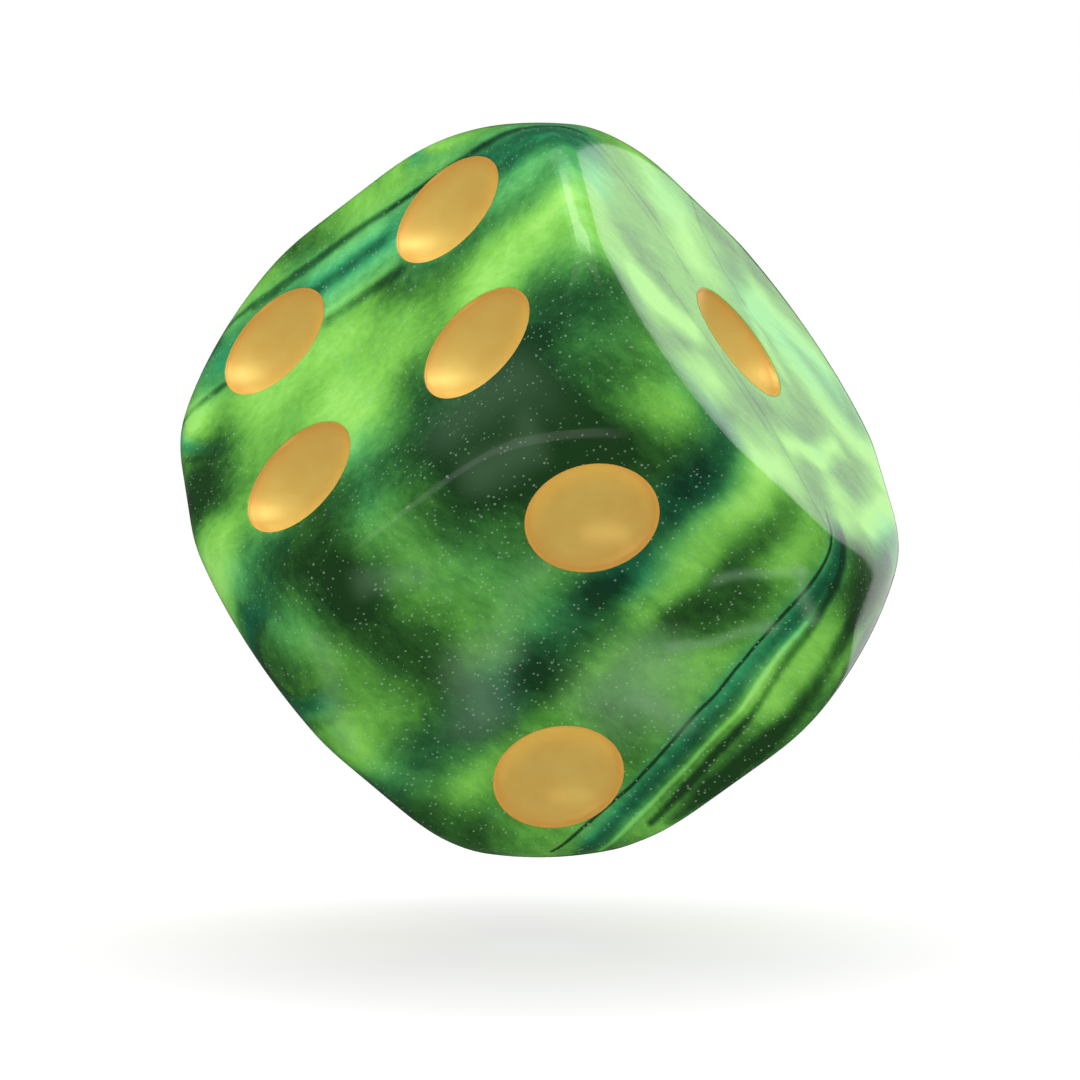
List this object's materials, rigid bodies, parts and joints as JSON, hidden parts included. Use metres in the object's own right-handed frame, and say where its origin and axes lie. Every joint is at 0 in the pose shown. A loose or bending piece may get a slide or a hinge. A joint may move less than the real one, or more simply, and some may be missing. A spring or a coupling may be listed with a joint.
{
  "type": "six-sided gaming die",
  "caption": "Round-cornered six-sided gaming die of marbled green resin, with shallow concave pips lined in gold enamel.",
  "frame": {"origin": "centre of the die, half way between each pair of opposite faces", "axes": "+Z out of the four, -Y out of the two, +X out of the one; each axis is square to a pair of faces"},
  "size_m": [0.016, 0.016, 0.016],
  "materials": {
    "marbled_resin": "polished translucent resin, marbled in pearl, leaf, forest and teal green",
    "gold_enamel": "satin gold enamel"
  },
  "bodies": {
    "root": {"die_body": "marbled_resin", "one_pip": "gold_enamel", "two_pip_1": "gold_enamel", "two_pip_2": "gold_enamel", "three_pip_1": "gold_enamel", "three_pip_2": "gold_enamel", "three_pip_3": "gold_enamel", "four_pip_1": "gold_enamel", "four_pip_2": "gold_enamel", "four_pip_3": "gold_enamel", "four_pip_4": "gold_enamel", "five_pip_1": "gold_enamel", "five_pip_2": "gold_enamel", "five_pip_3": "gold_enamel", "five_pip_4": "gold_enamel", "five_pip_5": "gold_enamel", "six_pip_1": "gold_enamel", "six_pip_2": "gold_enamel", "six_pip_3": "gold_enamel", "six_pip_4": "gold_enamel", "six_pip_5": "gold_enamel", "six_pip_6": "gold_enamel"}
  },
  "joints": []
}
